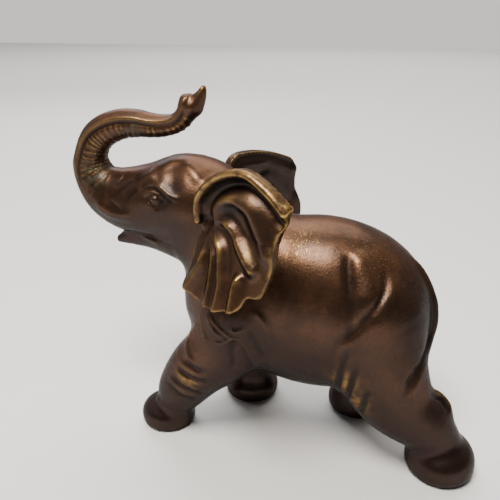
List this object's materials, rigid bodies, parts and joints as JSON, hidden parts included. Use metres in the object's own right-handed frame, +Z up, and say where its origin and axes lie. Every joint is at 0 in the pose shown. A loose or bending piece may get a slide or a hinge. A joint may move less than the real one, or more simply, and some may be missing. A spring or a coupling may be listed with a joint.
{
  "type": "elephant sculpture",
  "caption": "Cast bronze figure of a striding elephant with its trunk thrown back over its brow and its ears spread.",
  "frame": {"origin": "centre of the bounding box in plan, on the floor plane of the soles", "axes": "+X from the trunk towards the tail, +Y towards the animal's right side, +Z up"},
  "size_m": [0.2326, 0.1356, 0.1952],
  "materials": {
    "bronze": "dark brown patinated cast bronze, worn to warm metal on ridges and edges"
  },
  "bodies": {
    "root": {"elephant": "bronze"}
  },
  "joints": []
}
